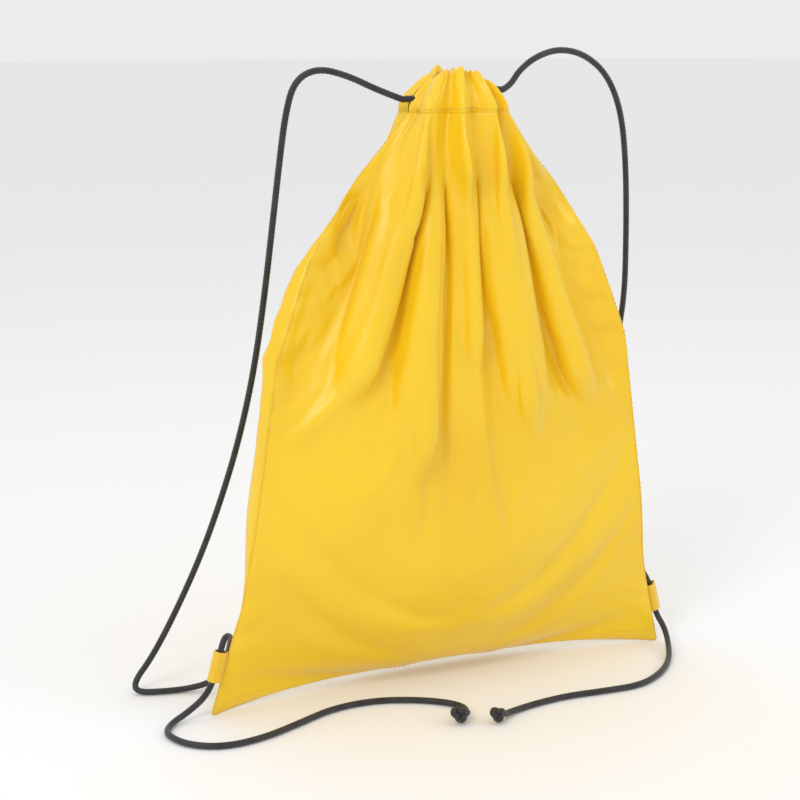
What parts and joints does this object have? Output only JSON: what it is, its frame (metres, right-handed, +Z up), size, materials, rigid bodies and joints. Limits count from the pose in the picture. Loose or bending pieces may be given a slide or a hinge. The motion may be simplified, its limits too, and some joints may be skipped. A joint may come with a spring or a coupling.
{
  "type": "drawstring backpack",
  "caption": "Drawstring backpack of thin cloth, gathered at its mouth by drawcords that serve as shoulder straps and pass through a ribbon tab low on each side.",
  "frame": {"origin": "on the surface that the bag stands on, under the middle of the bag's own box (cords left out)", "axes": "+Z up along the bag, +X across it from the left seam to the right seam, -Y out of the front panel"},
  "size_m": [0.3728, 0.146, 0.4166],
  "materials": {
    "bag_cloth": "satin polyester taffeta",
    "tab_ribbon": "satin ribbon",
    "drawcord": "braided polypropylene",
    "sewing_thread": "spun polyester"
  },
  "bodies": {
    "root": {"front_panel": "bag_cloth", "back_panel": "bag_cloth", "front_hem": "bag_cloth", "back_hem": "bag_cloth", "left_tab": "tab_ribbon", "right_tab": "tab_ribbon", "left_cord": "drawcord", "right_cord": "drawcord", "left_hem_cord": "drawcord", "right_hem_cord": "drawcord", "left_knot": "drawcord", "right_knot": "drawcord", "left_seam_thread": "sewing_thread", "right_seam_thread": "sewing_thread", "bottom_seam_thread": "sewing_thread", "front_hem_thread": "sewing_thread", "back_hem_thread": "sewing_thread"}
  },
  "joints": []
}
